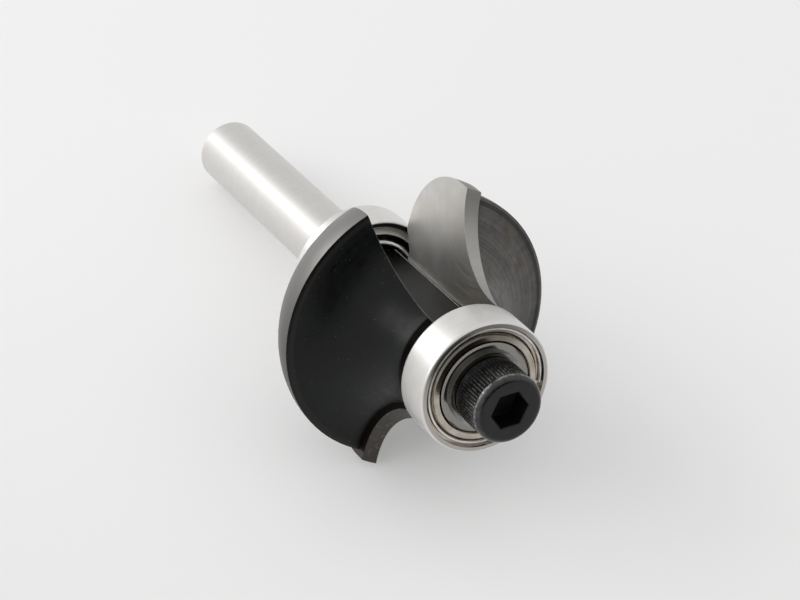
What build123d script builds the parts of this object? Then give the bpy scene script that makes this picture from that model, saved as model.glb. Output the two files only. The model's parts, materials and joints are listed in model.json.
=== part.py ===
from build123d import *
from math import acos, asin, atan2, cos, degrees, hypot, pi, radians, sin, sqrt, tan
import os

# A two-wing router bit with a ball bearing at each end of its cutter.
# Its edge cuts a hollow beside the tip bearing and a round beside the shank bearing.
#
# Bit frame: Z runs along the axis from the front face of the tip bearing (Z = 0) towards
# the shank end. Wing 1 carries its cutting edge on the +X side, facing -Y, and wing 2 is
# wing 1 turned by half a turn. At the end every piece is laid down as the bit comes to
# rest: on one cutting edge, on the back corner of the other wing and on the shank end.

# Shank
shank_dia = 8.0
shank_free_length = 36.3     # bare shank behind the shank bearing
shank_end_chamfer = 0.5

# Ball bearings, the same size at both ends
bearing_dia = 16.0
bearing_width = 5.0
bearing_edge = 0.3           # rounding of the outer ring's rims
ring_edge = 0.2              # chamfer of the inner ring's rims
seat_clearance = 0.01        # between a bearing's bore and the spigot or shank inside it
ball_count = 9
race_clearance = 0.04        # between a ball and its groove
ball_share = 0.49            # of the room between the shank and the bearing's rim
race_depth_share = 0.25      # depth of the ball groove, as a share of the ball
cage_side_clearance = 0.17   # between the cage and each ring
cage_claw_share = 0.6        # how far the claws reach past the balls' centres, as a share of their radius
cage_pocket_clearance = 0.06
cage_base_height = 0.3       # unbroken rim under the pockets
shield_recess = 0.75         # depth of the step in the outer ring that a shield sits on
shield_step_width = 0.83
shield_thickness = 0.2
shield_channel_width = 0.7   # sunk rim of a shield, where its snap wire lies
shield_slope_width = 0.3     # slanted wall between the sunk rim and the rest of the shield
shield_crown_recess = 0.15   # the rest of the shield lies this far below the rings' faces
shield_curl = 0.25           # height of the turned-in lip at the shield's inner rim
shield_gap = 0.15            # between a shield and the inner ring
wire_dia = 0.36              # snap wire that holds a shield
wire_gap = 0.19              # between a centred snap wire and the outer ring
wire_drift = 0.14            # the wire lies this far off the bearing's axis
wire_drift_deg = 30.0
wire_place_deg = 127.5       # middle of the snap wire's opening
wire_opening_deg = 92.0
wire_end_radius = 4.6        # the ends of the wire curl in a little
wire_end_deg = 12.0

# Cutting edge, measured in the plane of the rake face
profile_radius = 9.5         # of the hollow and of the round
edge_lead_in = 0.5           # straight stretch beside the tip bearing
edge_margin = 1.3            # straight stretch at the greatest diameter
edge_bearing_clearance = 0.3 # between the carbide and the tip bearing

# Carbide tips
carbide_thickness = 2.0
carbide_proud = 1.0          # how far the edge stands out of the turned body
relief_eccentricity = 2.0    # the flanks are ground about an axis this far ahead of the bit's own
carbide_heel_length = 1.4    # slanted shank-side end, along the axis
carbide_heel_width = 2.3     # slanted shank-side end, across the axis
rake_offset = 2.4            # the rake face lies this far behind the axis
braze_gap = 0.05

# Body
flute_floor = 4.35           # distance of the flute's floor from the axis
flute_floor_fillet = 1.8
back_wall_deg = 28.4         # the flute's other wall, measured from the rake face
back_wall_offset = 1.4       # distance of that wall's plane from the axis
ledge_chamfer = 0.3          # along the floor, next to the carbide
rim_chamfer = 0.35           # at the body's greatest diameter
shoulder_dia = 10.2          # seats for the two inner rings
tip_shoulder_height = 0.9
shank_shoulder_height = 2.2
spigot_recess = 0.3          # the spigot stops short of the tip bearing's front face

# Pilot screw and its washer
screw_dia = 5.0
screw_length = 12.0
screw_hole_clearance = 0.05
screw_hole_spare = 1.5       # hole left beyond the screw's end
drill_point_height = 1.4
head_dia = 8.3
head_height = 5.0
head_rounding = 0.75
head_base_chamfer = 0.2
screw_end_chamfer = 0.4
hex_across_flats = 4.0
hex_depth = 2.6
hex_turn_deg = 16.0
washer_dia = 9.2
washer_bore = 5.3
washer_thickness = 0.5

# Snap ring behind the shank bearing
snap_ring_thickness = 0.8
snap_ring_inset = 0.23       # its edge stays this far inside the inner ring's edge
snap_ring_opening_deg = 40.0
snap_groove_depth = 0.25
snap_groove_clearance = 0.03

# Places along the axis
shank_radius = shank_dia / 2
bearing_radius = bearing_dia / 2
carbide_start = bearing_width + edge_bearing_clearance
hollow_start = carbide_start + edge_lead_in
margin_start = hollow_start + profile_radius
round_start = margin_start + edge_margin
carbide_end = round_start + profile_radius
body_start = bearing_width + tip_shoulder_height
body_end = carbide_end - carbide_proud
shank_bearing_start = body_end + shank_shoulder_height
snap_ring_start = shank_bearing_start + bearing_width
shank_end = snap_ring_start + shank_free_length

# Radii and places across the axis
cutting_radius = bearing_radius + profile_radius
body_radius = cutting_radius - carbide_proud
edge_inner_x = sqrt(bearing_radius**2 - rake_offset**2)
edge_outer_x = sqrt(cutting_radius**2 - rake_offset**2)
spigot_radius = shank_radius - seat_clearance
pitch_radius = (bearing_radius + shank_radius) / 2
ball_radius = (bearing_radius - shank_radius) * ball_share / 2
groove_radius = ball_radius + race_clearance
land_from_pitch = groove_radius - 2 * ball_radius * race_depth_share
inner_land_radius = pitch_radius - land_from_pitch
outer_land_radius = pitch_radius + land_from_pitch
shield_step_radius = outer_land_radius + shield_step_width
groove_floor_radius = shank_radius - snap_groove_depth
snap_ring_radius = inner_land_radius - snap_ring_inset


def turned(*outline):
    # Solid of revolution about Z from corners given as (radius, height).
    return revolve(Plane.XZ * make_face(Polyline(*outline, close=True)), Axis.Z)


def back_wall_y(x):
    # Y of the flute's back wall at a distance x from the axis, in wing 1's frame.
    return -(x * tan(radians(back_wall_deg)) + back_wall_offset / cos(radians(back_wall_deg)))


def turned_body():
    # Spigot, shoulder, hollow, rim, round, shoulder and shank, turned from one bar.
    hollow_radius = profile_radius + carbide_proud
    round_radius = profile_radius - carbide_proud

    hollow_tip_angle = 180 - degrees(asin((body_start - hollow_start) / hollow_radius))
    hollow_rim_angle = degrees(acos(-(carbide_proud + rim_chamfer) / hollow_radius))
    snap_ring_end = snap_ring_start + snap_ring_thickness + snap_groove_clearance
    with BuildPart() as body:
        with BuildSketch(Plane.XZ):
            with BuildLine():
                hollow = CenterArc(
                    (cutting_radius, hollow_start),
                    hollow_radius,
                    hollow_rim_angle,
                    hollow_tip_angle - hollow_rim_angle,
                )
                rounding = CenterArc(
                    (body_radius - round_radius, round_start), round_radius, 0, 90
                )
                Polyline(
                    hollow @ 0,
                    (body_radius, (hollow @ 0).Y + rim_chamfer / 2),
                    rounding @ 0,
                )
                Polyline(
                    hollow @ 1,
                    (shoulder_dia / 2, body_start),
                    (shoulder_dia / 2, bearing_width),
                    (spigot_radius, bearing_width),
                    (spigot_radius, spigot_recess),
                    (0, spigot_recess),
                    (0, shank_end),
                )
                Polyline(
                    rounding @ 1,
                    (shoulder_dia / 2, body_end),
                    (shoulder_dia / 2, shank_bearing_start),
                    (spigot_radius, shank_bearing_start),
                    (spigot_radius, snap_ring_start),
                    (groove_floor_radius, snap_ring_start),
                    (groove_floor_radius, snap_ring_end),
                    (shank_radius, snap_ring_end),
                    (shank_radius, shank_end - shank_end_chamfer),
                    (shank_radius - shank_end_chamfer, shank_end),
                    (0, shank_end),
                )
            make_face()
        revolve(axis=Axis.Z)
    return body.part


def flute_cutter():
    # The space in front of wing 1's rake face, with the pocket of its carbide tip.
    reach = cutting_radius
    pocket_y = rake_offset + carbide_thickness
    with BuildPart() as cutter:
        with BuildSketch(Plane.XY.offset(bearing_width)):
            with BuildLine():
                Polyline(
                    (flute_floor, back_wall_y(flute_floor)),
                    (reach, back_wall_y(reach)),
                    (reach, pocket_y),
                    (flute_floor - ledge_chamfer, pocket_y),
                    (flute_floor - ledge_chamfer, rake_offset),
                    (flute_floor, rake_offset - ledge_chamfer),
                    close=True,
                )
            face = make_face()
            corner = face.vertices().sort_by_distance((flute_floor, back_wall_y(flute_floor)))[0]
            fillet(corner, flute_floor_fillet)
        extrude(amount=shank_bearing_start - bearing_width)
    return cutter.part


def screw_hole():
    hole_radius = screw_dia / 2 + screw_hole_clearance
    hole_end = screw_length - washer_thickness + screw_hole_spare
    return turned(
        (0, 0),
        (hole_radius, 0),
        (hole_radius, hole_end),
        (0, hole_end + drill_point_height),
    )


def cutter_body():
    body = turned_body() - screw_hole()
    for turn in (0, 180):
        body -= Rot(0, 0, turn) * flute_cutter()
    return body


def carbide_tip():
    # Flat plate between the rake face and the pocket wall. Its flanks are ground about an
    # axis ahead of the bit's own, so that they fall away behind the cutting edge.
    flank_axis_to_rake = rake_offset + relief_eccentricity
    inner = hypot(edge_inner_x, flank_axis_to_rake)
    outer = hypot(edge_outer_x, flank_axis_to_rake)
    seat_x = flute_floor - ledge_chamfer + braze_gap
    with BuildPart() as ground:
        with BuildSketch(Plane.XZ):
            with BuildLine():
                Polyline(
                    (0, carbide_end), (0, carbide_start), (inner, carbide_start), (inner, hollow_start)
                )
                EllipticalCenterArc(
                    (outer, hollow_start), outer - inner, profile_radius, 90, arc_size=90
                )
                Line((outer, margin_start), (outer, round_start))
                EllipticalCenterArc(
                    (inner, round_start), outer - inner, profile_radius, 0, arc_size=90
                )
                Line((inner, carbide_end), (0, carbide_end))
            make_face()
        revolve(axis=Axis.Z)
    plate = Pos(seat_x, rake_offset, carbide_start) * Box(
        cutting_radius,
        carbide_thickness,
        carbide_end - carbide_start,
        align=Align.MIN,
    )
    heel = Plane.XZ * make_face(Polyline(
        (0, carbide_end - carbide_heel_length),
        (edge_inner_x - carbide_heel_width, carbide_end - carbide_heel_length),
        (edge_inner_x, carbide_end),
        (0, carbide_end),
        close=True,
    ))
    tip = plate & (Pos(0, -relief_eccentricity, 0) * ground.part)
    return tip - extrude(heel, amount=-cutting_radius)


def inner_ring():
    bore = shank_radius
    ring = turned(
        (bore + ring_edge, 0),
        (inner_land_radius - ring_edge, 0),
        (inner_land_radius, ring_edge),
        (inner_land_radius, bearing_width - ring_edge),
        (inner_land_radius - ring_edge, bearing_width),
        (bore + ring_edge, bearing_width),
        (bore, bearing_width - ring_edge),
        (bore, ring_edge),
    )
    return ring - Pos(0, 0, bearing_width / 2) * Torus(pitch_radius, groove_radius)


def outer_ring():
    ring = turned(
        (shield_step_radius, 0),
        (bearing_radius, 0),
        (bearing_radius, bearing_width),
        (shield_step_radius, bearing_width),
        (shield_step_radius, bearing_width - shield_recess),
        (outer_land_radius, bearing_width - shield_recess),
        (outer_land_radius, shield_recess),
        (shield_step_radius, shield_recess),
    )
    rims = [
        edge
        for edge in ring.edges().filter_by(GeomType.CIRCLE)
        if abs(edge.radius - bearing_radius) < seat_clearance
    ]
    ring = fillet(rims, bearing_edge)
    return ring - Pos(0, 0, bearing_width / 2) * Torus(pitch_radius, groove_radius)


def balls():
    places = PolarLocations(pitch_radius, ball_count)
    return Pos(0, 0, bearing_width / 2) * Compound([place * Sphere(ball_radius) for place in places])


def cage():
    # Crown cage: an unbroken rim under open pockets that snap over the balls.
    pocket_radius = ball_radius + cage_pocket_clearance
    base = bearing_width / 2 - pocket_radius - cage_base_height
    top = bearing_width / 2 + ball_radius * cage_claw_share
    inner = inner_land_radius + cage_side_clearance
    outer = outer_land_radius - cage_side_clearance
    ring = turned((inner, base), (outer, base), (outer, top), (inner, top))
    for place in PolarLocations(pitch_radius, ball_count):
        ring -= Pos(0, 0, bearing_width / 2) * place * Sphere(pocket_radius)
    return ring


def shield():
    # Pressed disc: its sunk rim sits on the step of the outer ring and its crown lies
    # just below the rings' faces, with a lip turned in beside the inner ring.
    inner = inner_land_radius + shield_gap
    outer = shield_step_radius - seat_clearance
    channel = outer - shield_channel_width
    crown = shield_crown_recess
    crown_edge = channel - shield_slope_width
    wall = shield_thickness
    # The wall keeps its thickness through both bends of the slope.
    bend = wall * tan(atan2(shield_recess - wall - crown, shield_slope_width) / 2)
    return turned(
        (inner, crown + wall + shield_curl),
        (inner, crown + wall / 2),
        (inner + wall / 2, crown),
        (crown_edge, crown),
        (channel, shield_recess - wall),
        (outer, shield_recess - wall),
        (outer, shield_recess),
        (channel - bend, shield_recess),
        (crown_edge - bend, crown + wall),
        (inner + wall, crown + wall),
        (inner + wall, crown + wall + shield_curl),
    )


def snap_wire():
    # Open ring of round spring wire, lying on the shield's sunk rim a little off centre.
    wire_radius = wire_dia / 2
    path_radius = shield_step_radius - wire_gap - wire_radius
    height = shield_recess - shield_thickness - wire_radius
    drift = radians(wire_drift_deg)
    centre = (wire_drift * cos(drift), wire_drift * sin(drift))
    with BuildPart() as wire:
        with BuildLine(Plane.XY.offset(height)) as path:
            ring = CenterArc(
                centre, path_radius, wire_place_deg + wire_opening_deg / 2, 360 - wire_opening_deg
            )
            JernArc(ring @ 1, ring % 1, wire_end_radius, wire_end_deg)
            JernArc(ring @ 0, -(ring % 0), wire_end_radius, -wire_end_deg)
        whole = path.wires()[0]
        with BuildSketch(Plane(origin=whole @ 0, z_dir=whole % 0)):
            Circle(wire_radius)
        sweep(path=whole)
    return wire.part


def bearing(end, start):
    # The eight pieces of one bearing, whose front face lies at Z = start.
    near_side = Pos(0, 0, start)
    far_side = Pos(0, 0, start + bearing_width) * Rot(180, 0, 0)
    return {
        f"{end}_bearing_outer_ring": near_side * outer_ring(),
        f"{end}_bearing_inner_ring": near_side * inner_ring(),
        f"{end}_bearing_balls": near_side * balls(),
        f"{end}_bearing_cage": near_side * cage(),
        f"{end}_bearing_front_shield": near_side * shield(),
        f"{end}_bearing_rear_shield": far_side * shield(),
        f"{end}_bearing_front_snap_wire": near_side * snap_wire(),
        f"{end}_bearing_rear_snap_wire": far_side * snap_wire(),
    }


def pilot_screw():
    # Socket head cap screw, clamping the tip bearing's inner ring through the washer.
    head_front = -(washer_thickness + head_height)
    with BuildPart() as screw:
        with Locations((0, 0, head_front)):
            Cylinder(head_dia / 2, head_height, align=(Align.CENTER, Align.CENTER, Align.MIN))
        fillet(screw.edges().group_by(Axis.Z)[0], head_rounding)
        chamfer(screw.edges().group_by(Axis.Z)[-1], head_base_chamfer)
        with BuildSketch(Plane.XY.offset(-washer_thickness)):
            Circle(screw_dia / 2)
        extrude(amount=screw_length)
        chamfer(screw.edges().group_by(Axis.Z)[-1], screw_end_chamfer)
        with BuildSketch(Plane.XY.offset(head_front)):
            RegularPolygon(hex_across_flats / 2, 6, major_radius=False, rotation=hex_turn_deg)
        extrude(amount=hex_depth, mode=Mode.SUBTRACT)
    return screw.part


def screw_washer():
    return Pos(0, 0, -washer_thickness) * turned(
        (washer_bore / 2, 0),
        (washer_dia / 2, 0),
        (washer_dia / 2, washer_thickness),
        (washer_bore / 2, washer_thickness),
    )


def shank_snap_ring():
    # Flat spring ring, open on one side, sprung into the groove of the shank.
    inner = groove_floor_radius + seat_clearance
    ring = turned(
        (inner, 0),
        (snap_ring_radius, 0),
        (snap_ring_radius, snap_ring_thickness),
        (inner, snap_ring_thickness),
    )
    half_opening = radians(snap_ring_opening_deg / 2)
    reach = bearing_dia
    opening = make_face(Polyline(
        (0, 0),
        (reach * cos(half_opening), reach * sin(half_opening)),
        (reach * cos(half_opening), -reach * sin(half_opening)),
        close=True,
    ))
    ring -= extrude(opening, amount=snap_ring_thickness)
    return Pos(0, 0, snap_ring_start) * ring


def resting_plane():
    # The table's plane, seen from the bit: it touches the round of wing 2's cutting edge,
    # the round of wing 1's back corner and the rim of the shank's end.
    step_count = 400
    settling_count = 12
    round_radius = profile_radius - carbide_proud
    round_inner = body_radius - round_radius
    slope = tan(radians(back_wall_deg))
    wall_start = back_wall_offset / cos(radians(back_wall_deg))
    cutting_edge, back_corner, shank_rim = [], [], []
    for step in range(step_count + 1):
        angle = pi / 2 * step / step_count
        edge_x = edge_inner_x + (edge_outer_x - edge_inner_x) * cos(angle)
        cutting_edge.append(Vector(-edge_x, -rake_offset, round_start + profile_radius * sin(angle)))
        radius = round_inner + round_radius * cos(angle)
        # Where the turned radius meets the flute's back wall y = slope x + wall_start.
        wall_x = sqrt(radius**2 * (1 + slope**2) - wall_start**2) - slope * wall_start
        wall_x /= 1 + slope**2
        wall_y = slope * wall_x + wall_start
        back_corner.append(Vector(-wall_x, wall_y, round_start + round_radius * sin(angle)))
        turn = 2 * pi * step / step_count
        for radius, height in (
            (shank_radius, shank_end - shank_end_chamfer),
            (shank_radius - shank_end_chamfer, shank_end),
        ):
            shank_rim.append(Vector(radius * cos(turn), radius * sin(turn), height))
    down = Vector(-1, 0, 0)
    for _ in range(settling_count):
        feet = [max(edge, key=down.dot) for edge in (cutting_edge, back_corner, shank_rim)]
        down = (feet[1] - feet[0]).cross(feet[2] - feet[0]).normalized()
        if down.dot(feet[0]) < 0:
            down = -down
    up = -down
    tip_direction = Vector(0, 0, -1)
    forward = (tip_direction - up * tip_direction.dot(up)).normalized()
    return Plane(origin=(0, 0, 0), x_dir=forward, z_dir=up)


def router_bit():
    # Every piece in the bit frame, by name.
    pieces = {
        "cutter_body": cutter_body(),
        "carbide_tip_1": carbide_tip(),
        "carbide_tip_2": Rot(0, 0, 180) * carbide_tip(),
        "pilot_screw": pilot_screw(),
        "screw_washer": screw_washer(),
        "shank_snap_ring": shank_snap_ring(),
    }
    pieces.update(bearing("tip", 0))
    pieces.update(bearing("shank", shank_bearing_start))
    return pieces


def laid_down(pieces):
    # Turned into the resting pose, with the origin under the middle of the bounding box.
    table = resting_plane()
    turned_pieces = {name: table.to_local_coords(piece) for name, piece in pieces.items()}
    box = Compound(list(turned_pieces.values())).bounding_box()
    shift = Pos(-box.center().X, -box.center().Y, -box.min.Z)
    return {name: shift * piece for name, piece in turned_pieces.items()}


os.makedirs("parts", exist_ok=True)
for name, piece in laid_down(router_bit()).items():
    export_step(piece, f"parts/{name}.step")
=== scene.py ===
import bpy
import bmesh
import json
import math
from mathutils import Matrix, Vector


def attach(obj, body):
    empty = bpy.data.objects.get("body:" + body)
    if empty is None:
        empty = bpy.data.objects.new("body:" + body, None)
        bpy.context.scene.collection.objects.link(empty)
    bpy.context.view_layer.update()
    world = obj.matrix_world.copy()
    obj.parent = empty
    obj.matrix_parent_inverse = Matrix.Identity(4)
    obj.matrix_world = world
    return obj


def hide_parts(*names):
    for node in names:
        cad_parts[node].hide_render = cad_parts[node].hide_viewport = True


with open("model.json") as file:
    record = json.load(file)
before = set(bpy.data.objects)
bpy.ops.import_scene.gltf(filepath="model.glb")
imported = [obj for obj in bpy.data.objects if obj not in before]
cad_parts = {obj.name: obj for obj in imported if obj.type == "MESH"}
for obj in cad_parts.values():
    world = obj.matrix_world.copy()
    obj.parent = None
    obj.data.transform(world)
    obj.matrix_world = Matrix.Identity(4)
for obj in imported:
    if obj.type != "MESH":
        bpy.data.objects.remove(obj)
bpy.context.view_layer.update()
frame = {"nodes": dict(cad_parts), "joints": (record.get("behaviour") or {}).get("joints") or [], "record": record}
print("router bit: frame loaded")

# the bit's own frame: Z along the axis from the tip bearing's front face towards the shank end
lying = {
    "rollDeg": 17.317,      # wing 1 is turned this far about the axis from straight up
    "bearingWidth": 5.0,
}
hinges = {joint["name"]: joint for joint in frame["joints"]}
tipHinge = hinges["tip_bearing_spin"]
shankward = Vector(tipHinge["axis"]).normalized()
upright = (Vector((0, 0, 1)) - shankward * shankward.z).normalized()
roll = math.radians(lying["rollDeg"])
wingward = upright * math.cos(roll) + shankward.cross(upright) * math.sin(roll)
faceward = shankward.cross(wingward)
bitOrigin = Vector(tipHinge["pos_m"]) - shankward * lying["bearingWidth"] / 2000  # half the width, in metres
bitToFrame = Matrix((wingward, faceward, shankward)).transposed().to_4x4()
bitToFrame.translation = bitOrigin
frameToBit = bitToFrame.inverted()
mm = Matrix.Scale(0.001, 4)


def feedNode(tree, node, feeds):
    for socket, value in feeds.items():
        if isinstance(value, bpy.types.NodeSocket):
            tree.links.new(value, node.inputs[socket])
        else:
            node.inputs[socket].default_value = value


def addNode(tree, kind, feeds=None, **settings):
    node = tree.nodes.new(kind)
    for name, value in settings.items():
        setattr(node, name, value)
    feedNode(tree, node, feeds or {})
    return node


def calc(tree, operation, first, *others, clamp=False):
    # several values are worked through from left to right
    for other in others or (0.0,):
        feeds = {0: first, 1: other}
        first = addNode(tree, "ShaderNodeMath", feeds, operation=operation, use_clamp=clamp).outputs[0]
    return first


def times(tree, *values):
    return calc(tree, "MULTIPLY", *values)


def plus(tree, *values):
    return calc(tree, "ADD", *values)


def minus(tree, first, second):
    return calc(tree, "SUBTRACT", first, second)


def most(tree, *values):
    return calc(tree, "MAXIMUM", *values)


def vectorCalc(tree, operation, first, second=(0, 0, 0)):
    node = addNode(tree, "ShaderNodeVectorMath", {0: first, 1: second}, operation=operation)
    return node.outputs["Value" if operation in ("LENGTH", "DOT_PRODUCT") else "Vector"]


def makeVector(tree, x=0.0, y=0.0, z=0.0):
    return addNode(tree, "ShaderNodeCombineXYZ", {0: x, 1: y, 2: z}).outputs[0]


def splitVector(tree, vector):
    return addNode(tree, "ShaderNodeSeparateXYZ", {0: vector}).outputs


def blendColour(tree, amount, first, second):
    return addNode(tree, "ShaderNodeMix", {0: amount, 6: first, 7: second}, data_type="RGBA").outputs[2]


def blendValue(tree, amount, first, second):
    return addNode(tree, "ShaderNodeMix", {0: amount, 2: first, 3: second}, data_type="FLOAT").outputs[0]


def remap(tree, value, low, high, toLow=0.0, toHigh=1.0, smooth=False):
    feeds = {0: value, 1: low, 2: high, 3: toLow, 4: toHigh}
    kind = "SMOOTHSTEP" if smooth else "LINEAR"
    return addNode(tree, "ShaderNodeMapRange", feeds, interpolation_type=kind).outputs[0]


def fall(tree, value, low, high, smooth=False):
    # 1 up to the low value, 0 from the high one on
    return remap(tree, value, low, high, 1.0, 0.0, smooth)


def invert(tree, mask):
    return fall(tree, mask, 0.0, 1.0)


def within(tree, value, low, high, soft=0.05):
    # 1 between two values, falling to 0 just outside them
    return times(tree, remap(tree, value, low - soft, low), fall(tree, value, high, high + soft))


noiseSpan = (0.3, 0.7)  # most of a noise lies in here
wideSpan = (0.2, 0.8)   # and nearly all of it in here


def vary(tree, noise, low, high, span=noiseSpan):
    # a noise spread over a range
    return remap(tree, noise, *span, low, high)


wingShape = {
    "rake": 2.4,                                 # the rake face lies this far behind the axis
    "backWallDeg": 28.4, "backWallOffset": 1.4,  # the flute's other wall
    "hollowCentre": (17.5, 5.8), "hollowRadius": 10.5,  # radius and height of the turned hollow's centre
    "fluteEdge": (0.02, 0.08), "rakeEdge": (0.0, 0.06),  # how sharply the flute's finish ends
}


def makeBitPlace(wing):
    # millimetres in the bit's own frame, with what both wings have in common
    group = bpy.data.node_groups.new("bitPlace", "ShaderNodeTree")
    place = addNode(group, "ShaderNodeMapping", {
        "Vector": addNode(group, "ShaderNodeTexCoord").outputs["Object"],
        "Location": frameToBit.translation * 1000,
        "Rotation": frameToBit.to_euler(),
        "Scale": (1000, 1000, 1000),
    }).outputs[0]
    wingwise, facewise, along = splitVector(group, place)
    flat = makeVector(group, wingwise, facewise)
    radius = vectorCalc(group, "LENGTH", flat)
    side = calc(group, "SIGN", wingwise)
    behind = minus(group, times(group, facewise, side), wing["rake"])
    lean = math.radians(wing["backWallDeg"])
    wall = vectorCalc(group, "DOT_PRODUCT", place, (math.sin(lean), math.cos(lean), 0))
    ahead = plus(group, times(group, wall, side), wing["backWallOffset"])
    outwards = minus(group, radius, wing["hollowCentre"][0])
    upwards = minus(group, along, wing["hollowCentre"][1])
    fromCentre = vectorCalc(group, "LENGTH", makeVector(group, outwards, upwards))
    inFlute = times(group, remap(group, ahead, *wing["fluteEdge"]), fall(group, behind, *wing["rakeEdge"]))
    found = {
        "Place": place,
        "Round": vectorCalc(group, "NORMALIZE", flat),  # which way the place lies from the axis
        "Along": along,
        "Radius": radius,
        "Side": side,                                   # 1 on wing 1's side of the axis, -1 on wing 2's
        "Behind": behind,                               # behind the rake face of that side's wing
        "Reach": calc(group, "ABSOLUTE", wingwise),
        "FromBackWall": minus(group, calc(group, "ABSOLUTE", wall), wing["backWallOffset"]),
        "FromHollow": minus(group, fromCentre, wing["hollowRadius"]),
        "InFlute": inFlute,
    }
    for name in found:
        kind = "NodeSocketVector" if name in ("Place", "Round") else "NodeSocketFloat"
        group.interface.new_socket(name, in_out="OUTPUT", socket_type=kind)
    feedNode(group, group.nodes.new("NodeGroupOutput"), found)
    return group


bitPlace = makeBitPlace(wingShape)


def startMaterial(name):
    material = bpy.data.materials.new(name)
    material.use_nodes = True
    tree = material.node_tree
    place = addNode(tree, "ShaderNodeGroup", node_tree=bitPlace).outputs
    return material, tree, tree.nodes["Principled BSDF"], place


def turningMarks(tree, place, pitch, wander):
    # lines that run round the axis, closer than they are long
    spread = vectorCalc(tree, "MULTIPLY", place["Round"], (wander, wander, 0))
    rise = makeVector(tree, z=times(tree, place["Along"], 1 / pitch))
    return addNode(tree, "ShaderNodeTexNoise", {
        "Vector": vectorCalc(tree, "ADD", spread, rise),
        "W": times(tree, place["Radius"], 1 / pitch),
        "Scale": 1.0,
        "Detail": 2.0,
        "Roughness": 0.55,
    }, noise_dimensions="4D").outputs[0]


def cloud(tree, place, scale, detail=3.0, roughness=0.5):
    feeds = {"Vector": place["Place"], "Scale": scale, "Detail": detail, "Roughness": roughness}
    return addNode(tree, "ShaderNodeTexNoise", feeds).outputs[0]


def relief(tree, height, depth):
    feeds = {"Height": height, "Distance": depth / 1000, "Strength": 1.0}
    return addNode(tree, "ShaderNodeBump", feeds).outputs[0]


# a cloud's numbers are its scale, detail and roughness; a span says between which of its values
# a tint comes in, and a share how much of it shows
cutterLook = {
    "coat": (0.0016, 0.0017, 0.0019, 1), "coatRoughness": (0.24, 0.40), "coatRougher": (-0.05, 0.08),
    "mottleCloud": (0.9, 4.0, 0.65),
    "teal": (0.0014, 0.0036, 0.0040, 1), "tealCloud": (0.2, 3.0), "tealSpan": (0.45, 0.65),
    "rust": (0.010, 0.006, 0.0035, 1), "rustSpan": (0.62, 0.75), "rustShare": 0.5,
    "thinReach": (2.4, 4.5),                 # on wing 1's back the coating lets the steel through
    "thinCloud": (0.12, 2.0), "thinLess": 0.12, "sheenCloud": (0.28, 2.0),
    "thinCoat": (0.142, 0.135, 0.127, 1),
    "thinBlue": (0.106, 0.108, 0.112, 1), "blueSpan": (0.5, 0.68),
    "thinBrown": (0.136, 0.120, 0.104, 1), "brownSpan": (0.32, 0.45),
    "thinDark": (0.03, 0.03, 0.031, 1), "darkSpan": (0.45, 0.65), "darkShare": 0.22,
    "band": (0.02, 0.016, 0.012, 1), "bandShare": 0.6,
    "bandRadii": (15.75, 16.15), "bandSoft": 0.12,          # just inside the rim of the hollow
    "marks": (0.004, 0.004, 0.004, 1), "marksShare": 0.35,  # the marks left by turning
    "markPitch": 0.16, "markWander": 0.8, "markDepth": 0.0016,
    "speck": (0.45, 0.47, 0.46, 1), "speckScale": 3.2, "speckShare": 0.4,
    "speckRadii": (0.05, 0.14), "speckChosen": (0.88, 0.9),
    "fluteCoat": (0.0095, 0.010, 0.0088, 1), # milled, so duller than the turned coat
    "fluteRoughness": 0.42,
    "paintedShade": (0.0015, 0.0013, 0.001, 1),     # painted shade: near black round the shoulder and along the carbide
    "shadeRadii": (8.03, 8.63), "shadeHeights": (7.0, 7.3),
    "besideTip": (4.42, 4.44),               # the pocket's ledge lies nearer the axis than this
    "gapBehind": (-0.12, 0.02), "gapHeights": (11.5, 14.5), "gapShare": 0.25,  # painted shadow in the gap beside the carbide, blackest near the tip
    "footBehind": (-0.55, -0.38), "footSoft": 0.04,         # and painted shade lies at the foot of the ledge
    # painted highlight: the pocket's ledge is near white and not metallic, so it shows as a bright line
    "ledgeHighlight": (0.92, 0.89, 0.85, 1), "ledgeBehind": (-0.35, -0.15), "ledgeSoft": 0.02,
    "bare": (0.240, 0.235, 0.226, 1),        # the rim ground to size and the worn edges
    "bareStained": (0.066, 0.058, 0.050, 1), # towards the carbide it is brown with resin
    "stainedSpan": (-0.6, 0.5),
    "rimHeights": (16.42, 16.45),            # the ground rim starts here
    "rimFade": (19.2, 22.5),                 # and the coat comes back here, by and by
    "rimRagged": (0.7, 0.6), "rimRadii": (14.0, 14.6), "rimFromWall": (0.01, 0.05),
    "edgeWidth": (0.02, 0.07), "edgeSpan": (0.35, 0.6), "edgeShares": (0.2, 0.9),
    "shank": (0.71, 0.695, 0.672, 1), "shankWorn": (0.655, 0.64, 0.615, 1), "wornSpan": (0.35, 0.65),
    "shankHeights": (27.25, 27.30),          # the coating ends at the shank bearing
    "shankRoughness": (0.36, 0.44), "bareRelief": 0.12, "gloss": 0.25,
}


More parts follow.
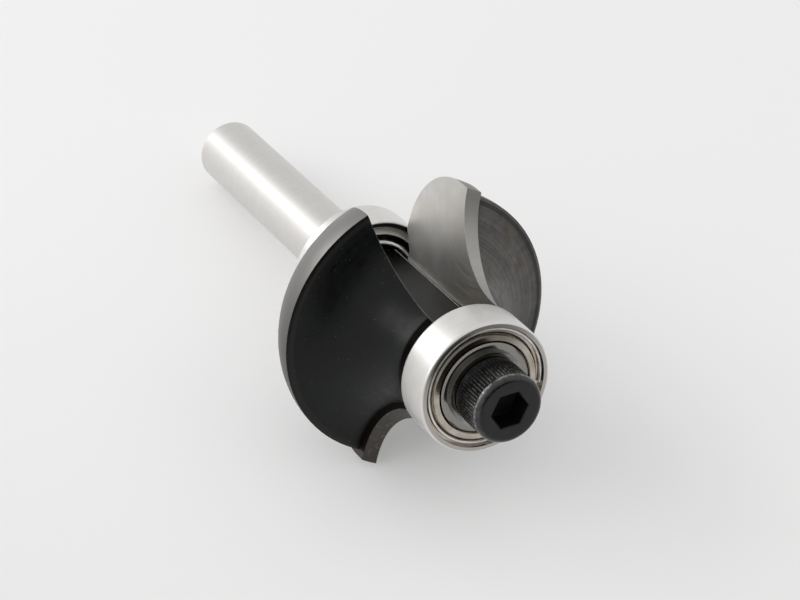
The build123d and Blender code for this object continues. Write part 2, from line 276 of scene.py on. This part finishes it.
def cutterMasks(tree, place, marks, mottle, look):
    along, radius, behind, fromWall = (place[name] for name in ("Along", "Radius", "Behind", "FromBackWall"))
    shank = remap(tree, along, *look["shankHeights"])
    marked, mottled = look["rimRagged"]
    ragged = plus(tree, along, vary(tree, marks, -marked, marked), vary(tree, mottle, -mottled, mottled))
    rim = times(
        tree,
        remap(tree, along, *look["rimHeights"]),
        fall(tree, ragged, *look["rimFade"], smooth=True),
        remap(tree, radius, *look["rimRadii"]),
        remap(tree, fromWall, *look["rimFromWall"]),
    )
    # the edge between the hollow and the flute's back wall is worn
    edge = times(
        tree,
        fall(tree, fromWall, *look["edgeWidth"]),
        fall(tree, place["FromHollow"], *look["edgeWidth"]),
        remap(tree, mottle, *look["edgeSpan"], *look["edgeShares"]),
    )
    besideTip = fall(tree, place["Reach"], *look["besideTip"])
    ledgeHighlight = times(tree, besideTip, within(tree, behind, *look["ledgeBehind"], look["ledgeSoft"]))
    # painted shade: black in the gap beside the carbide, at the foot of the ledge and round the shoulder by the
    # tip bearing
    gap = times(
        tree,
        besideTip,
        within(tree, behind, *look["gapBehind"], look["ledgeSoft"]),
        remap(tree, along, *look["gapHeights"], 1.0, look["gapShare"]),
    )
    foot = times(tree, besideTip, within(tree, behind, *look["footBehind"], look["footSoft"]))
    shoulder = times(
        tree, fall(tree, radius, *look["shadeRadii"], smooth=True), fall(tree, along, *look["shadeHeights"])
    )
    facewise = splitVector(tree, place["Place"])[1]
    thin = remap(tree, facewise, *look["thinReach"], smooth=True)
    patchy = vary(tree, cloud(tree, place, *look["thinCloud"]), -look["thinLess"], 0.0)
    return {
        "shank": shank,
        "ledgeHighlight": ledgeHighlight,
        "paintedShade": most(tree, gap, foot, shoulder),
        "flute": times(tree, place["InFlute"], invert(tree, shank)),
        "bare": most(tree, shank, ledgeHighlight, rim, edge),
        "thin": calc(tree, "ADD", thin, patchy, clamp=True),
    }


def coatColour(tree, place, marks, mottle, masks, look):
    teal = remap(tree, cloud(tree, place, *look["tealCloud"]), *look["tealSpan"])
    coat = blendColour(tree, teal, look["coat"], look["teal"])
    rust = remap(tree, mottle, *look["rustSpan"], 0.0, look["rustShare"])
    coat = blendColour(tree, rust, coat, look["rust"])
    sheen = cloud(tree, place, *look["sheenCloud"])
    showing = blendColour(tree, remap(tree, sheen, *look["blueSpan"]), look["thinCoat"], look["thinBlue"])
    showing = blendColour(tree, fall(tree, sheen, *look["brownSpan"]), showing, look["thinBrown"])
    dark = remap(tree, mottle, *look["darkSpan"], 0.0, look["darkShare"])
    showing = blendColour(tree, dark, showing, look["thinDark"])
    coat = blendColour(tree, masks["thin"], coat, showing)
    band = within(tree, place["Radius"], *look["bandRadii"], look["bandSoft"])
    coat = blendColour(tree, times(tree, band, look["bandShare"]), coat, look["band"])
    coat = blendColour(tree, vary(tree, marks, 0.0, look["marksShare"]), coat, look["marks"])
    # dust sits in the middle of a few cells
    feeds = {"Vector": place["Place"], "Scale": look["speckScale"]}
    cells = addNode(tree, "ShaderNodeTexVoronoi", feeds).outputs
    chance = addNode(tree, "ShaderNodeSeparateColor", {0: cells["Color"]}).outputs[0]
    dusty = times(
        tree,
        fall(tree, cells["Distance"], *look["speckRadii"]),
        remap(tree, chance, *look["speckChosen"]),
        look["speckShare"],
    )
    coat = blendColour(tree, dusty, coat, look["speck"])
    coat = blendColour(tree, masks["flute"], coat, look["fluteCoat"])
    # painted shade over the coat
    return blendColour(tree, masks["paintedShade"], coat, look["paintedShade"])


def bareColour(tree, place, marks, mottle, masks, look):
    worn = remap(tree, times(tree, plus(tree, mottle, marks), 0.5), *look["wornSpan"])
    shank = blendColour(tree, worn, look["shank"], look["shankWorn"])
    # resin lies along the rim on the side where each wing cuts
    half = calc(tree, "SIGN", splitVector(tree, place["Place"])[1])
    turned = times(tree, splitVector(tree, place["Round"])[0], half)
    ground = blendColour(tree, remap(tree, turned, *look["stainedSpan"]), look["bare"], look["bareStained"])
    steel = blendColour(tree, masks["shank"], ground, shank)
    # painted highlight on the pocket's ledge
    return blendColour(tree, masks["ledgeHighlight"], steel, look["ledgeHighlight"])


def makeCutterSteel(look):
    material, tree, shader, place = startMaterial("coatedSteel")
    marks = turningMarks(tree, place, look["markPitch"], look["markWander"])
    mottle = cloud(tree, place, *look["mottleCloud"])
    masks = cutterMasks(tree, place, marks, mottle, look)
    bare = masks["bare"]
    coat = coatColour(tree, place, marks, mottle, masks, look)
    steel = bareColour(tree, place, marks, mottle, masks, look)
    metal = most(tree, masks["paintedShade"], masks["flute"], bare, masks["thin"])
    coatRough = vary(tree, marks, *look["coatRoughness"], wideSpan)
    coatRough = plus(tree, coatRough, vary(tree, mottle, *look["coatRougher"]))
    coatRough = blendValue(tree, masks["flute"], coatRough, look["fluteRoughness"])
    shankRough = vary(tree, marks, *look["shankRoughness"], wideSpan)
    height = times(tree, marks, remap(tree, bare, 0.0, 1.0, 1.0, look["bareRelief"]))
    feedNode(tree, shader, {
        "Base Color": blendColour(tree, bare, coat, steel),
        "Metallic": times(tree, metal, invert(tree, masks["ledgeHighlight"])),
        "Roughness": blendValue(tree, bare, coatRough, shankRough),
        "Normal": relief(tree, height, look["markDepth"]),
        "Specular IOR Level": look["gloss"],
    })
    return material


carbideLook = {
    "rake": (0.61, 0.605, 0.59, 1), "rakeBehind": (0.01, 0.05), # its finish ends just behind the face
    "rakeWarm": (0.56, 0.535, 0.50, 1), "warmCloud": (0.4, 3.0), "warmSpan": (0.35, 0.7),
    "rakeShadedLow": (0.53, 0.495, 0.45, 1), "lowHeights": (9.0, 18.0),       # painted shade: darker towards the tip
    "rakeShadedEnd": (0.33, 0.30, 0.27, 1), "endHeights": (6.5, 10.5),
    "flank": (0.27, 0.262, 0.245, 1),        # ground flank behind the edge, duller towards the rim
    "flankInner": (0.44, 0.435, 0.42, 1), "flankRadii": (10.0, 16.5),
    "stained": (0.085, 0.077, 0.070, 1),     # flank of wing 2, brown with old resin
    "stainedCloud": (1.5, 4.0, 0.6), "stainedSpan": (0.3, 0.45), "stainedShares": (0.75, 1.0),
    "flux": (0.014, 0.011, 0.008, 1),        # back of the plate, blackened when it was brazed
    "backBehind": (1.94, 1.98), "backRougher": 0.2,
    "fluxRadii": (16.1, 16.5),               # the outermost corner stays clean
    "seamReach": (4.44, 4.16),               # the brazed inner edge is black, widest near the tip
    "seamHeights": (11.0, 15.0), "seamSoft": 0.05,
    "roughness": (0.42, 0.56), "roughSpan": (0.25, 0.75), "depth": 0.0008,
    "line": (0.25, 0.235, 0.21, 1), "lineSpan": (0.45, 0.75),
    "lineHeights": (10.0, 17.0), "lineShares": (0.3, 0.04),
    "grindCentre": (15.0, 12.0),             # the grinding marks are arcs about this place
    "grindPitch": 0.17, "grindWander": 2.5,
}


def grindingMarks(tree, place, look):
    across = minus(tree, place["Reach"], look["grindCentre"][0])
    along = minus(tree, place["Along"], look["grindCentre"][1])
    outwards = makeVector(tree, across, along)
    rings = makeVector(tree, z=times(tree, vectorCalc(tree, "LENGTH", outwards), 1 / look["grindPitch"]))
    heading = vectorCalc(tree, "NORMALIZE", outwards)
    heading = vectorCalc(tree, "MULTIPLY", heading, (look["grindWander"], look["grindWander"], 0))
    feeds = {"Vector": vectorCalc(tree, "ADD", heading, rings), "Scale": 1.0, "Detail": 3.0}
    return addNode(tree, "ShaderNodeTexNoise", feeds).outputs[0]


def makeCarbide(look):
    material, tree, shader, place = startMaterial("groundCarbide")
    along, radius, behind = place["Along"], place["Radius"], place["Behind"]
    scratch = grindingMarks(tree, place, look)
    warm = remap(tree, cloud(tree, place, *look["warmCloud"]), *look["warmSpan"])
    rake = blendColour(tree, warm, look["rake"], look["rakeWarm"])
    # painted shade: the rake face darkens towards the tip
    rake = blendColour(tree, fall(tree, along, *look["lowHeights"]), rake, look["rakeShadedLow"])
    rake = blendColour(tree, fall(tree, along, *look["endHeights"]), rake, look["rakeShadedEnd"])
    strength = remap(tree, along, *look["lineHeights"], *look["lineShares"])
    lines = times(tree, remap(tree, scratch, *look["lineSpan"]), strength)
    rake = blendColour(tree, lines, rake, look["line"])
    flank = blendColour(tree, remap(tree, radius, *look["flankRadii"]), look["flankInner"], look["flank"])
    resin = cloud(tree, place, *look["stainedCloud"])
    resin = remap(tree, resin, *look["stainedSpan"], *look["stainedShares"])
    onWing2 = fall(tree, place["Side"], -0.1, 0.1)
    flank = blendColour(tree, times(tree, onWing2, resin), flank, look["stained"])
    colour = blendColour(tree, remap(tree, behind, *look["rakeBehind"]), rake, flank)
    back = remap(tree, behind, *look["backBehind"])
    back = times(tree, back, fall(tree, radius, *look["fluxRadii"]))
    seamReach = remap(tree, along, *look["seamHeights"], *look["seamReach"])
    seam = fall(tree, minus(tree, place["Reach"], seamReach), -look["seamSoft"], 0.0)
    colour = blendColour(tree, most(tree, back, seam), colour, look["flux"])
    rough = remap(tree, scratch, *look["roughSpan"], *look["roughness"])
    feedNode(tree, shader, {
        "Base Color": colour,
        "Metallic": 1.0,
        "Roughness": plus(tree, rough, remap(tree, back, 0.0, 1.0, 0.0, look["backRougher"])),
        "Normal": relief(tree, scratch, look["depth"]),
    })
    return material


oxideLook = {
    "black": (0.0025, 0.0025, 0.0026, 1), "grey": (0.008, 0.0083, 0.009, 1), "greyCloud": (1.2, 3.0),
    "socket": (0.0008, 0.0008, 0.0008, 1),   # the hex is full of shade and old grease
    "socketRoughness": 0.55, "socketHeights": (-5.46, -5.38), "socketRadii": (2.38, 2.46),
    "crestWearAndGlint": (0.28, 0.275, 0.26, 1),         # worn tops of the knurl, with painted highlight strongest near the rounding
    "crestRadii": (4.075, 4.125), "crestHeights": (-4.62, -2.2), "crestShares": (1.0, 0.1),
    "crestCloud": (2.5, 3.0), "crestSpan": (0.4, 0.65),
    "worn": (0.055, 0.055, 0.056, 1),        # painted highlight: the rounding of the head is lighter
    "wornRadii": (3.5, 3.9), "wornHeights": (-5.42, -4.72), "wornSoft": 0.06,
    "wornSpan": (0.3, 0.6), "wornShares": (0.3, 1.0),
    "roughness": (0.17, 0.30), "grainCloud": (6.0, 3.0), "grain": 0.0025, "gloss": 0.34,
}


def makeBlackOxide(look):
    material, tree, shader, place = startMaterial("blackOxide")
    along, radius = place["Along"], place["Radius"]
    patch = cloud(tree, place, *look["greyCloud"])
    colour = blendColour(tree, vary(tree, patch, 0.0, 1.0), look["black"], look["grey"])
    # painted highlight: the head's rounding is lighter
    rounding = times(
        tree,
        remap(tree, radius, *look["wornRadii"]),
        within(tree, along, *look["wornHeights"], look["wornSoft"]),
        remap(tree, patch, *look["wornSpan"], *look["wornShares"]),
    )
    colour = blendColour(tree, rounding, colour, look["worn"])
    # worn, metallic crests of the knurl, with painted highlight: they fade away from the rounding
    crestWearAndGlint = times(
        tree,
        remap(tree, radius, *look["crestRadii"]),
        remap(tree, along, *look["crestHeights"], *look["crestShares"]),
        remap(tree, cloud(tree, place, *look["crestCloud"]), *look["crestSpan"]),
    )
    colour = blendColour(tree, crestWearAndGlint, colour, look["crestWearAndGlint"])
    socket = remap(tree, along, *look["socketHeights"])
    socket = times(tree, socket, fall(tree, radius, *look["socketRadii"]))
    rough = vary(tree, patch, *look["roughness"])
    grain = cloud(tree, place, *look["grainCloud"])
    feedNode(tree, shader, {
        "Base Color": blendColour(tree, socket, colour, look["socket"]),
        "Metallic": crestWearAndGlint,
        "Roughness": blendValue(tree, socket, rough, look["socketRoughness"]),
        "Normal": relief(tree, grain, look["grain"]),
        "Specular IOR Level": look["gloss"],
    })
    return material


bearingLook = {
    "rim": (0.77, 0.755, 0.735, 1), "rimRoughness": 0.36, "roughSpread": 0.04,
    "rimWorn": (0.73, 0.715, 0.695, 1), "wornCloud": (0.8, 3.0), "wornSpan": (0.4, 0.7),
    "face": (0.42, 0.40, 0.375, 1), "faceRoughness": 0.17,
    "faceRadii": (7.74, 7.84),               # the side faces end at the rounded rim
    "inner": (0.25, 0.24, 0.225, 1), "innerRoughness": 0.13, "innerRadii": (5.5, 5.6),
    # painted shade: one side of each bearing's faces and shields is darker
    "sideShade": (0.10, 0.088, 0.074, 1), "sideShadeShare": 0.8,
    "shadedSide": (0.90, -0.44, 0.0), "shadedSpan": (0.1, 1.0),     # the side painted darker
    "deepHeights": (26.5, 29.5), "deepSoft": 0.1,       # the shank bearing's front, painted with dark and bright bands of reflection, lies here
    # painted reflection: the shank bearing's front is near black, with near white, half metallic bands at the
    # inner ring's edge and on the shield's crown
    "deepFaceShade": (0.03, 0.028, 0.024, 1),
    "deepInnerHighlight": (0.95, 0.94, 0.88, 1), "deepInnerRadii": (5.10, 5.20),
    "deepShieldHighlight": (0.95, 0.93, 0.85, 1), "deepCrown": (6.35, 6.95), "crownSoft": 0.08,
    "deepMetallic": 0.3,
    "pitch": 0.14, "wander": 0.9, "depth": 0.0003,
}


def deepSide(tree, place, look):
    # the shank bearing's face towards the wings, which carries painted reflections
    return within(tree, place["Along"], *look["deepHeights"], look["deepSoft"])


def shadedSide(tree, place, look):
    # painted shade darkens one side of a bearing's face
    side = vectorCalc(tree, "DOT_PRODUCT", place["Round"], look["shadedSide"])
    return times(tree, remap(tree, side, *look["shadedSpan"], smooth=True), look["sideShadeShare"])


def makeBearingSteel(look):
    material, tree, shader, place = startMaterial("bearingSteel")
    marks = turningMarks(tree, place, look["pitch"], look["wander"])
    face = fall(tree, place["Radius"], *look["faceRadii"])
    inner = fall(tree, place["Radius"], *look["innerRadii"])
    worn = remap(tree, cloud(tree, place, *look["wornCloud"]), *look["wornSpan"])
    rimColour = blendColour(tree, worn, look["rim"], look["rimWorn"])
    # painted reflection on the shank bearing's front: near black faces and a near white inner edge
    deep = deepSide(tree, place, look)
    faceColour = blendColour(tree, deep, look["face"], look["deepFaceShade"])
    faceColour = blendColour(tree, shadedSide(tree, place, look), faceColour, look["sideShade"])
    lit = times(tree, deep, remap(tree, place["Radius"], *look["deepInnerRadii"]))
    innerColour = blendColour(tree, deep, look["inner"], look["deepFaceShade"])
    innerColour = blendColour(tree, lit, innerColour, look["deepInnerHighlight"])
    rough = blendValue(tree, face, look["rimRoughness"], look["faceRoughness"])
    rough = blendValue(tree, inner, rough, look["innerRoughness"])
    uneven = vary(tree, marks, -look["roughSpread"], look["roughSpread"], wideSpan)
    feedNode(tree, shader, {
        "Base Color": blendColour(tree, inner, blendColour(tree, face, rimColour, faceColour), innerColour),
        "Metallic": blendValue(tree, times(tree, lit, inner), 1.0, look["deepMetallic"]),
        "Roughness": plus(tree, rough, uneven),
        "Normal": relief(tree, marks, look["depth"]),
    })
    return material


metalShared = {"wander": 0.9, "tintSpan": (0.4, 0.7)}
metalLooks = {
    "zinc_steel": {
        "name": "zincPlate",
        "colour": (0.3, 0.29, 0.27, 1), "tint": (0.12, 0.115, 0.105, 1), "tintScale": 0.3,
        "roughness": 0.2, "spread": 0.08, "pitch": 0.2, "depth": 0.0006,
    },
    "spring_steel": {
        "name": "springSteel",
        "colour": (0.34, 0.34, 0.35, 1), "tint": (0.22, 0.22, 0.22, 1), "tintScale": 0.8,
        "roughness": 0.35, "spread": 0.08, "pitch": 0.2, "depth": 0.0008,
    },
    "ball_steel": {
        "name": "ballSteel",
        "colour": (0.85, 0.85, 0.86, 1), "tint": (0.8, 0.8, 0.8, 1), "tintScale": 0.8,
        "roughness": 0.1, "spread": 0.02, "pitch": 0.3, "depth": 0.0,
    },
    "cage_steel": {
        "name": "cageSteel",
        "colour": (0.6, 0.58, 0.54, 1), "tint": (0.5, 0.48, 0.44, 1), "tintScale": 0.8,
        "roughness": 0.35, "spread": 0.08, "pitch": 0.2, "depth": 0.0005,
    },
    "shield_steel": {
        "name": "shieldSteel",
        "colour": (0.50, 0.47, 0.425, 1), "tint": (0.36, 0.30, 0.23, 1), "tintScale": 0.55,
        "roughness": 0.17, "spread": 0.05, "pitch": 0.12, "depth": 0.0005,
    },
    "wire_steel": {
        "name": "wireSteel",
        "colour": (0.72, 0.71, 0.69, 1), "tint": (0.5, 0.48, 0.45, 1), "tintScale": 0.8,
        "roughness": 0.3, "spread": 0.08, "pitch": 0.3, "depth": 0.0005,
    },
}


def makeMetal(look, paintedLight=None):
    material, tree, shader, place = startMaterial(look["name"])
    middle, spread = look["roughness"], look["spread"]
    marks = turningMarks(tree, place, look["pitch"], metalShared["wander"])
    tinted = remap(tree, cloud(tree, place, look["tintScale"]), *metalShared["tintSpan"])
    colour = blendColour(tree, tinted, look["colour"], look["tint"])
    metallic = 1.0
    if paintedLight:
        # painted shade on one side of each shield; the shank bearing's shield towards the wings is painted dark
        # but for a painted highlight on its crown
        deep = deepSide(tree, place, paintedLight)
        crown = within(tree, place["Radius"], *paintedLight["deepCrown"], paintedLight["crownSoft"])
        colour = blendColour(tree, shadedSide(tree, place, paintedLight), colour, paintedLight["sideShade"])
        deepColour = blendColour(tree, crown, paintedLight["deepFaceShade"], paintedLight["deepShieldHighlight"])
        colour = blendColour(tree, deep, colour, deepColour)
        metallic = blendValue(tree, times(tree, deep, crown), 1.0, paintedLight["deepMetallic"])
    feedNode(tree, shader, {
        "Base Color": colour,
        "Metallic": metallic,
        "Roughness": vary(tree, marks, middle - spread, middle + spread, wideSpan),
        "Normal": relief(tree, marks, look["depth"]),
    })
    return material


finishes = {
    "coated_steel": makeCutterSteel(cutterLook),
    "carbide": makeCarbide(carbideLook),
    "black_oxide_steel": makeBlackOxide(oxideLook),
    "bearing_steel": makeBearingSteel(bearingLook),
}
for slotName, look in metalLooks.items():
    finishes[slotName] = makeMetal(look, bearingLook if slotName == "shield_steel" else None)
slotOf = {part["node"]: part["material_slot"] for part in frame["record"]["subparts"]}
for nodeName, cadPiece in frame["nodes"].items():
    cadPiece.data.materials.clear()
    cadPiece.data.materials.append(finishes[slotOf[nodeName]])
print("router bit: finishes made")

screwSizes = {
    "headRadius": 4.15, "headTop": -5.5, "headBase": -0.5, "rounding": 0.75, "roundingSteps": 8,
    "coreRadius": 4.02,                      # the knurl's ridges stand on the core
    "rimLength": 0.1, "coreStart": 0.3,      # both from the end of the rounding
    "coreEnd": 0.75,                         # from the head's base
    "collarInset": 0.05, "collarHeight": 0.6, "collarChamfer": 0.2,
    "rodRadius": 2.5, "rodEnd": 11.5, "rodChamfer": 0.4,
    "hexFlats": 4.0, "hexTurnDeg": 16.0, "hexDepth": 2.6, "mouth": 0.14,
    "drillPoint": 0.4, "pointRadius": 0.02, "landFactor": 1.42, "segments": 96, "sharpDeg": 35.0,
}


def makeScrewMesh(sizes):
    # rings of points from the socket's bottom, over the head and down to the rod's end
    count = sizes["segments"]
    flats = sizes["hexFlats"] / 2
    startTurn = math.radians(sizes["hexTurnDeg"])
    top, base, core = sizes["headTop"], sizes["headBase"], sizes["coreRadius"]
    head, soft, rod = sizes["headRadius"], sizes["rounding"], sizes["rodRadius"]
    bottom, rounded = top + sizes["hexDepth"], top + soft
    collar, chamfer, rodChamfer = head - sizes["collarInset"], sizes["collarChamfer"], sizes["rodChamfer"]
    # a hex ring's size is how far it lies outside the socket's flats
    rings = [
        ("round", sizes["pointRadius"], bottom + sizes["drillPoint"]),
        ("hex", 0.0, bottom),
        ("hex", 0.0, top + sizes["mouth"]),
        ("hex", sizes["mouth"], top),
        ("round", flats * sizes["landFactor"], top),
    ]
    for step in range(sizes["roundingSteps"] + 1):
        bend = math.radians(90 * step / sizes["roundingSteps"])
        rings.append(("round", head - soft + soft * math.sin(bend), rounded - soft * math.cos(bend)))
    rings += [
        ("round", head, rounded + sizes["rimLength"]),
        ("round", core, rounded + sizes["coreStart"]),
        ("round", core, base - sizes["coreEnd"]),
        ("round", collar, base - sizes["collarHeight"]),
        ("round", collar, base - chamfer),
        ("round", collar - chamfer, base),
        ("round", rod, base),
        ("round", rod, sizes["rodEnd"] - rodChamfer),
        ("round", rod - rodChamfer, sizes["rodEnd"]),
    ]
    form = bmesh.new()
    loops = []
    for kind, size, height in rings:
        loop = []
        for step in range(count):
            turn = 2 * math.pi * step / count + startTurn
            reach = size
            if kind == "hex":
                reach += flats / math.cos((turn - startTurn) % math.radians(60) - math.radians(30))
            loop.append(form.verts.new((reach * math.cos(turn), reach * math.sin(turn), height)))
        loops.append(loop)
    for first, second in zip(loops, loops[1:]):
        for step in range(count):
            after = (step + 1) % count
            form.faces.new((first[step], first[after], second[after], second[step]))
    form.faces.new(list(reversed(loops[0])))
    form.faces.new(loops[-1])
    bmesh.ops.recalc_face_normals(form, faces=form.faces)
    for face in form.faces:
        face.smooth = True
    mesh = bpy.data.meshes.new("pilotScrew")
    form.to_mesh(mesh)
    form.free()
    mesh.set_sharp_from_angle(angle=math.radians(sizes["sharpDeg"]))
    return mesh


knurlSizes = {
    "Ridges": 66,
    "Ring Radius": 4.0,
    "Ridge Depth": 0.2,
    "Ridge Pitch": 0.30,
    "Ridge Length": 3.25,
    "Ridge Middle": -2.9,
}


def makeKnurlTree(sizes, finish):
    # square bars stood on edge round the head
    tree = bpy.data.node_groups.new("knurledHead", "GeometryNodeTree")
    tree.interface.new_socket("Geometry", in_out="INPUT", socket_type="NodeSocketGeometry")
    tree.interface.new_socket("Geometry", in_out="OUTPUT", socket_type="NodeSocketGeometry")
    for name, value in sizes.items():
        kind = "NodeSocketInt" if isinstance(value, int) else "NodeSocketFloat"
        tree.interface.new_socket(name, in_out="INPUT", socket_type=kind)
    given = tree.nodes.new("NodeGroupInput").outputs

    def build(kind, feeds):
        return addNode(tree, "GeometryNode" + kind, feeds).outputs[0]

    circle = build("MeshCircle", {"Vertices": given["Ridges"], "Radius": given["Ring Radius"]})
    ridge = build("MeshCube", {"Size": (1, 1, 1)})
    ridge = build("Transform", {"Geometry": ridge, "Rotation": (0, 0, math.radians(45))})
    shape = makeVector(tree, given["Ridge Depth"], given["Ridge Pitch"], given["Ridge Length"])
    ridge = build("Transform", {"Geometry": ridge, "Scale": shape})
    share = calc(tree, "DIVIDE", build("InputIndex", {}), given["Ridges"])
    facing = makeVector(tree, z=times(tree, share, 2 * math.pi))
    ring = build("InstanceOnPoints", {"Points": circle, "Instance": ridge, "Rotation": facing})
    ring = build("Transform", {"Geometry": ring, "Translation": makeVector(tree, z=given["Ridge Middle"])})
    joined = addNode(tree, "GeometryNodeJoinGeometry")
    tree.links.new(ring, joined.inputs[0])
    tree.links.new(given["Geometry"], joined.inputs[0])
    real = build("RealizeInstances", {0: joined.outputs[0]})
    dressed = build("SetMaterial", {"Geometry": real, "Material": finish})
    tree.links.new(dressed, tree.nodes.new("NodeGroupOutput").inputs[0])
    return tree


def bakePiece(name, mesh, tree, values):
    # the tree's result becomes a plain mesh, put where the bit lies
    piece = bpy.data.objects.new(name, mesh)
    bpy.context.scene.collection.objects.link(piece)
    modifier = piece.modifiers.new("build", "NODES")
    modifier.node_group = tree
    for item in tree.interface.items_tree:
        if item.in_out == "INPUT" and item.name in values:
            modifier[item.identifier] = values[item.name]
    ready = piece.evaluated_get(bpy.context.evaluated_depsgraph_get())
    made = bpy.data.meshes.new_from_object(ready)
    piece.modifiers.clear()
    piece.data = made
    piece.data.transform(bitToFrame @ mm)
    return piece


knurl = makeKnurlTree(knurlSizes, finishes["black_oxide_steel"])
screw = bakePiece("pilot_screw_knurled", makeScrewMesh(screwSizes), knurl, knurlSizes)
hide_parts("pilot_screw")
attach(screw, "cutter")
print("router bit: screw made")

roomLook = {
    "floor": (0.87, 0.865, 0.865, 1), "floorRoughness": 0.6, "floorSize": 6.0,
    "paler": (1, 0.995, 0.99, 1), "palerShare": 0.24,
    "cornerSide": (0.29, -0.96, 0.0), "corner": (0.015, 0.085), "cornerLevel": 0.7,    # painted shade: the table's glow is weaker that way
    "air": (1, 1, 1, 1), "level": 0.79,
    "dark": 0.02, "darkSide": (0.99, -0.06, 0.12), "darkSpan": (0.72, 0.94),  # one end of the room
}


def makeFloor(look):
    mesh = bpy.data.meshes.new("floor")
    half = look["floorSize"] / 2
    corners = [(-half, -half, 0), (half, -half, 0), (half, half, 0), (-half, half, 0)]
    mesh.from_pydata(corners, [], [(0, 1, 2, 3)])
    floor = bpy.data.objects.new("floor", mesh)
    bpy.context.scene.collection.objects.link(floor)
    material = bpy.data.materials.new("paleTable")
    material.use_nodes = True
    tree = material.node_tree
    shader = tree.nodes["Principled BSDF"]
    feedNode(tree, shader, {"Base Color": look["floor"], "Roughness": look["floorRoughness"]})
    # the camera and the metal see the table a little paler than its lit colour, with the shadow kept
    rays = addNode(tree, "ShaderNodeLightPath").outputs
    seen = most(tree, rays["Is Camera Ray"], rays["Is Glossy Ray"], rays["Is Transmission Ray"])
    spot = addNode(tree, "ShaderNodeTexCoord").outputs["Object"]
    # painted shade: the glow fades towards one corner
    corner = vectorCalc(tree, "DOT_PRODUCT", spot, look["cornerSide"])
    level = remap(tree, corner, *look["corner"], 1.0, look["cornerLevel"], smooth=True)
    glow = addNode(tree, "ShaderNodeEmission", {"Color": look["paler"], "Strength": level}).outputs[0]
    share = times(tree, seen, look["palerShare"])
    surface = addNode(tree, "ShaderNodeMixShader", {0: share, 1: shader.outputs[0], 2: glow}).outputs[0]
    tree.links.new(surface, tree.nodes["Material Output"].inputs["Surface"])
    mesh.materials.append(material)


def makeWorld(look):
    world = bpy.data.worlds.new("studio")
    bpy.context.scene.world = world
    world.use_nodes = True
    tree = world.node_tree
    direction = addNode(tree, "ShaderNodeTexCoord").outputs["Generated"]
    toDark = vectorCalc(tree, "DOT_PRODUCT", direction, look["darkSide"])
    dark = remap(tree, toDark, *look["darkSpan"], smooth=True)
    level = blendValue(tree, dark, look["level"], look["dark"])
    feedNode(tree, tree.nodes["Background"], {"Color": look["air"], "Strength": level})


lampAim = (0.0, 0.0, 0.01)
lamps = {
    "windowLight": {"place": (-0.55, -0.50, 0.40), "width": 0.7, "height": 0.5, "power": 2.4},
    "softLight": {"place": (-0.05, -0.55, 0.48), "width": 0.36, "height": 0.36, "power": 0.55},
}


def addLamp(name, values):
    light = bpy.data.lights.new(name, "AREA")
    light.shape = "RECTANGLE"
    light.size, light.size_y = values["width"], values["height"]
    light.energy = values["power"]
    lamp = bpy.data.objects.new(name, light)
    lamp.location = values["place"]
    lamp.rotation_euler = (Vector(lampAim) - Vector(values["place"])).to_track_quat("-Z", "Y").to_euler()
    bpy.context.scene.collection.objects.link(lamp)


makeFloor(roomLook)
makeWorld(roomLook)
for lampName, values in lamps.items():
    addLamp(lampName, values)

viewpoint = {
    "place": (0.216617, -0.113520, 0.234754),
    "aim": (0.020383, -0.005328, 0.026373),
    "rollDeg": 1.347,
    "lens": 125.36,
    "sensorWidth": 36.0,
    "clip": (0.01, 10.0),
}


def makeCamera(view):
    camera = bpy.data.objects.new("camera", bpy.data.cameras.new("camera"))
    camera.data.lens = view["lens"]
    camera.data.sensor_width = view["sensorWidth"]
    camera.data.clip_start, camera.data.clip_end = view["clip"]
    aim = (Vector(view["aim"]) - Vector(view["place"])).to_track_quat("-Z", "Y").to_matrix().to_4x4()
    tilt = Matrix.Rotation(math.radians(view["rollDeg"]), 4, "Z")
    camera.matrix_world = Matrix.Translation(view["place"]) @ aim @ tilt
    bpy.context.scene.collection.objects.link(camera)
    bpy.context.scene.camera = camera


makeCamera(viewpoint)
bpy.context.scene.view_settings.view_transform = "Standard"
print("router bit: camera and lights placed")
